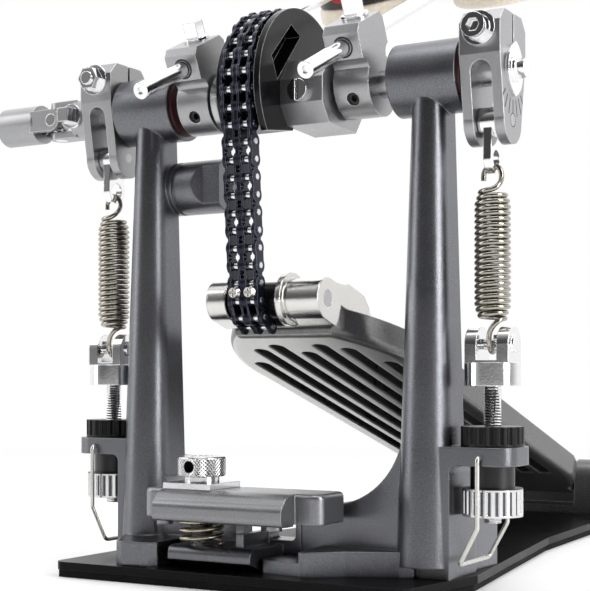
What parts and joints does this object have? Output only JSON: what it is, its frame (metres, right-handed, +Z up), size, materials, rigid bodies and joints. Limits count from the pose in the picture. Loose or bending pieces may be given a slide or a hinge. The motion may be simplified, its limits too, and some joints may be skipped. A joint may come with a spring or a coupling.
{
  "type": "double bass drum pedal",
  "caption": "Main unit of a double bass drum pedal: chain-driven footboard, twin beaters on split axles, spring towers, hoop clamp and a universal joint for the slave drive shaft.",
  "frame": {"origin": "on the floor, straight below the middle of the axle line between the posts", "axes": "+X along the axle to the spring tower beside the footboard's right edge seen from the drum, +Y from the drum to the heel, +Z up"},
  "size_m": [0.2322, 0.3397, 0.2838],
  "materials": {
    "cast_grey": "satin graphite grey paint on a casting",
    "cast_light": "light grey satin paint on a casting",
    "satin_silver": "satin machined",
    "chrome": "polished",
    "steel": "ground",
    "nickel_wire": "nickel plated wire",
    "bearing": "dark maroon seal",
    "black_metal": "black satin",
    "chain_steel": "blackened steel",
    "base_black": "black satin",
    "rubber": "matt",
    "board_alloy": "cast, brushed on top",
    "beater_black": "black moulding",
    "felt": "pressed felt"
  },
  "bodies": {
    "frame": {"base_plate": "base_black", "base_rubber": "rubber", "left_post": "cast_grey", "right_post": "cast_grey", "front_bridge": "cast_grey", "axle_bearings": "bearing", "heel_plate": "board_alloy", "heel_pin": "steel", "frame_bolts": "steel", "wire_clips": "steel", "clamp_stud": "chrome"},
    "jaw": {"clamp_jaw": "cast_light", "clamp_spring": "nickel_wire"},
    "clamp_nut": {"clamp_knob": "chrome"},
    "axle": {"main_axle": "steel", "cam": "black_metal", "cam_hub": "satin_silver", "cam_screw": "chrome", "right_beater_hub": "satin_silver", "right_clamp_screws": "chrome", "right_lever": "satin_silver", "right_lever_bolt": "chrome", "index_plate": "chrome", "right_lever_pin": "steel", "chain_on_cam": "chain_steel"},
    "right_beater": {"right_beater_rod": "chrome", "right_beater_core": "beater_black", "right_beater_felt": "felt"},
    "slave": {"slave_axle": "steel", "left_beater_hub": "satin_silver", "left_clamp_screws": "chrome", "left_lever": "satin_silver", "left_lever_bolt": "chrome", "left_lever_pin": "steel", "inner_yoke": "satin_silver"},
    "left_beater": {"left_beater_rod": "chrome", "left_beater_core": "beater_black", "left_beater_felt": "felt"},
    "cross": {"joint_cross": "chrome"},
    "drive_yoke": {"outer_yoke": "satin_silver"},
    "left_link": {"left_spring_link": "chrome"},
    "right_link": {"right_spring_link": "chrome"},
    "left_coil": {"left_spring": "nickel_wire"},
    "right_coil": {"right_spring": "nickel_wire"},
    "left_rod": {"left_tension_rod": "chrome"},
    "right_rod": {"right_tension_rod": "chrome"},
    "left_nuts": {"left_tension_knob": "chrome", "left_lock_knob": "black_metal"},
    "right_nuts": {"right_tension_knob": "chrome", "right_lock_knob": "black_metal"},
    "board": {"footboard": "board_alloy", "toe_clevis": "board_alloy", "toe_pin": "steel"},
    "link_one": {"chain_link_first": "chain_steel", "chain_link_second": "chain_steel"},
    "link_two": {"chain_link_third": "chain_steel", "chain_link_fourth": "chain_steel"},
    "hanging_chain": {"chain_hanging": "chain_steel", "chain_block": "black_metal", "chain_screws": "chrome"}
  },
  "joints": [
    {"name": "axle_turn", "type": "hinge", "parent": "frame", "child": "axle", "pos_m": [0, 0, 0.182], "axis": [1, 0, 0], "range_deg": [0, 50], "stiffness_Nm_per_rad": 1.2, "springref_deg": -20.05},
    {"name": "slave_turn", "type": "hinge", "parent": "frame", "child": "slave", "pos_m": [0, 0, 0.182], "axis": [1, 0, 0], "range_deg": [0, 50], "stiffness_Nm_per_rad": 1.2, "springref_deg": -20.05},
    {"name": "board_press", "type": "hinge", "parent": "frame", "child": "board", "pos_m": [0, 0.25, 0.025], "axis": [1, 0, 0], "range_deg": [0, 5.66]},
    {"name": "link_one_bend", "type": "hinge", "parent": "axle", "child": "link_one", "pos_m": [-0.004, -0.02021, 0.2028], "axis": [1, 0, 0], "range_deg": [-17.1, 0]},
    {"name": "link_two_bend", "type": "hinge", "parent": "link_one", "child": "link_two", "pos_m": [-0.004, -0.02713, 0.19224], "axis": [1, 0, 0], "range_deg": [-25.14, 0]},
    {"name": "hanging_chain_bend", "type": "hinge", "parent": "link_two", "child": "hanging_chain", "pos_m": [-0.004, -0.02891, 0.17974], "axis": [1, 0, 0], "range_deg": [-12.57, 0]},
    {"name": "right_link_swing", "type": "hinge", "parent": "axle", "child": "right_link", "pos_m": [0.082, 0, 0.1645], "axis": [1, 0, 0], "range_deg": [-59.15, 0]},
    {"name": "right_spring_stretch", "type": "slide", "parent": "right_link", "child": "right_coil", "axis": [0, 0, -1], "range_m": [0, 0.00732], "deforming": ["right_spring"]},
    {"name": "right_tension_turn", "type": "hinge", "parent": "frame", "child": "right_nuts", "pos_m": [0.082, 0, 0.0488], "axis": [0, 0, 1], "range_deg": [-1080, 0]},
    {"name": "right_rod_lift", "type": "slide", "parent": "frame", "child": "right_rod", "axis": [0, 0, 1], "range_m": [0, 0.003]},
    {"name": "right_beater_height", "type": "slide", "parent": "axle", "child": "right_beater", "axis": [0, 0.8988, 0.4384], "range_m": [-0.015, 0.02]},
    {"name": "left_link_swing", "type": "hinge", "parent": "slave", "child": "left_link", "pos_m": [-0.082, 0, 0.1645], "axis": [1, 0, 0], "range_deg": [-59.15, 0]},
    {"name": "left_spring_stretch", "type": "slide", "parent": "left_link", "child": "left_coil", "axis": [0, 0, -1], "range_m": [0, 0.00732], "deforming": ["left_spring"]},
    {"name": "left_tension_turn", "type": "hinge", "parent": "frame", "child": "left_nuts", "pos_m": [-0.082, 0, 0.0488], "axis": [0, 0, 1], "range_deg": [-1080, 0]},
    {"name": "left_rod_lift", "type": "slide", "parent": "frame", "child": "left_rod", "axis": [0, 0, 1], "range_m": [0, 0.003]},
    {"name": "left_beater_height", "type": "slide", "parent": "slave", "child": "left_beater", "axis": [0, 0.8988, 0.4384], "range_m": [-0.015, 0.02]},
    {"name": "cross_swing", "type": "hinge", "parent": "slave", "child": "cross", "pos_m": [-0.109, 0, 0.182], "axis": [0, 0, 1], "range_deg": [-25, 25]},
    {"name": "drive_swing", "type": "hinge", "parent": "cross", "child": "drive_yoke", "pos_m": [-0.109, 0, 0.182], "axis": [0, 1, 0], "range_deg": [-25, 25]},
    {"name": "jaw_close", "type": "slide", "parent": "frame", "child": "jaw", "axis": [0, 0, 1], "range_m": [-0.00375, 0], "deforming": ["clamp_spring"]},
    {"name": "clamp_turn", "type": "hinge", "parent": "jaw", "child": "clamp_nut", "pos_m": [-0.021, -0.027, 0.041], "axis": [0, 0, 1], "range_deg": [-1080, 0]}
  ],
  "couplings": [
    {"joint": "board_press", "follows": "axle_turn", "ratio": 0.1132},
    {"joint": "link_one_bend", "follows": "axle_turn", "ratio": -0.34206},
    {"joint": "link_two_bend", "follows": "axle_turn", "ratio": -0.50284},
    {"joint": "hanging_chain_bend", "follows": "axle_turn", "ratio": -0.25142},
    {"joint": "right_link_swing", "follows": "axle_turn", "ratio": -1.183},
    {"joint": "right_spring_stretch", "follows": "axle_turn", "m_per_rad": 0.0083923},
    {"joint": "right_tension_turn", "follows": "right_rod_lift", "rad_per_m": -6283.2},
    {"joint": "left_link_swing", "follows": "slave_turn", "ratio": -1.183},
    {"joint": "left_spring_stretch", "follows": "slave_turn", "m_per_rad": 0.0083923},
    {"joint": "left_tension_turn", "follows": "left_rod_lift", "rad_per_m": -6283.2},
    {"joint": "clamp_turn", "follows": "jaw_close", "rad_per_m": 5026.5}
  ]
}
